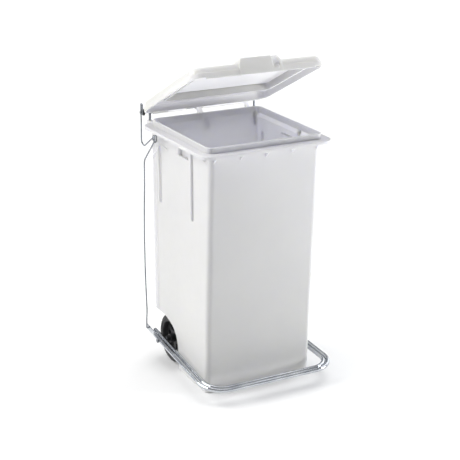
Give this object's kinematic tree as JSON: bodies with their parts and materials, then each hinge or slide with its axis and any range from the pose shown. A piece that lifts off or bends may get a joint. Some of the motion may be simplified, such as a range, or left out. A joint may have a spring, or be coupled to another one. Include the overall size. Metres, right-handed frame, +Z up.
{
  "type": "pedal-operated wheeled waste container",
  "caption": "Tall square white plastic waste container on a rear axle, with a bent-tube foot pedal and wire link rod that tip open a hinged lid.",
  "frame": {"origin": "centre of the container's body at floor level", "axes": "+X to the container's left seen from the front (its right-hand side in the front view), +Y toward the hinge and wheels, +Z up; the pedal is at -Y"},
  "size_m": [0.4578, 0.5388, 1.0339],
  "materials": {
    "shell_white": "satin moulded",
    "lid_white": "satin moulded",
    "chrome_steel": "bright plated tube",
    "zinc_steel": "zinc plated",
    "black_plastic": "satin moulded",
    "wheel_rubber": "matt"
  },
  "bodies": {
    "container": {"bin_body": "shell_white", "hinge_rod": "zinc_steel", "wheel_axle": "zinc_steel", "axle_washer_left": "zinc_steel", "axle_washer_right": "zinc_steel", "axle_spacer_left": "black_plastic", "axle_spacer_right": "black_plastic", "axle_cap_left": "zinc_steel", "axle_cap_right": "zinc_steel"},
    "lid_assembly": {"lid": "lid_white", "lid_crank_pin": "zinc_steel", "crank_bush": "black_plastic", "crank_pin_clip": "zinc_steel"},
    "pedal_frame": {"pedal_tube_outer": "chrome_steel", "pedal_tube_inner": "chrome_steel", "tube_plug_left": "black_plastic", "tube_plug_right": "black_plastic"},
    "link": {"link_rod": "zinc_steel", "link_rod_clip": "black_plastic"},
    "wheel_left": {"wheel_hub_left": "black_plastic", "wheel_tyre_left": "wheel_rubber"},
    "wheel_right": {"wheel_hub_right": "black_plastic", "wheel_tyre_right": "wheel_rubber"}
  },
  "joints": [
    {"name": "pedal_pivot", "type": "hinge", "parent": "container", "child": "pedal_frame", "pos_m": [0, 0.117, 0.08], "axis": [1, 0, 0], "range_deg": [-7.94, 0]},
    {"name": "lid_hinge", "type": "hinge", "parent": "container", "child": "lid_assembly", "pos_m": [0, 0.262, 0.799], "axis": [1, 0, 0], "range_deg": [0, 26.2]},
    {"name": "link_pivot", "type": "hinge", "parent": "pedal_frame", "child": "link", "pos_m": [0, 0.2135, 0.08666], "axis": [1, 0, 0], "range_deg": [0, 8.07]},
    {"name": "wheel_left_spin", "type": "hinge", "parent": "container", "child": "wheel_left", "pos_m": [-0.1575, 0.117, 0.08], "axis": [1, 0, 0], "continuous": true},
    {"name": "wheel_right_spin", "type": "hinge", "parent": "container", "child": "wheel_right", "pos_m": [0.1575, 0.117, 0.08], "axis": [1, 0, 0], "continuous": true}
  ],
  "couplings": [
    {"joint": "lid_hinge", "follows": "pedal_pivot", "ratio": -3.3},
    {"joint": "link_pivot", "follows": "pedal_pivot", "ratio": -1.0164}
  ]
}
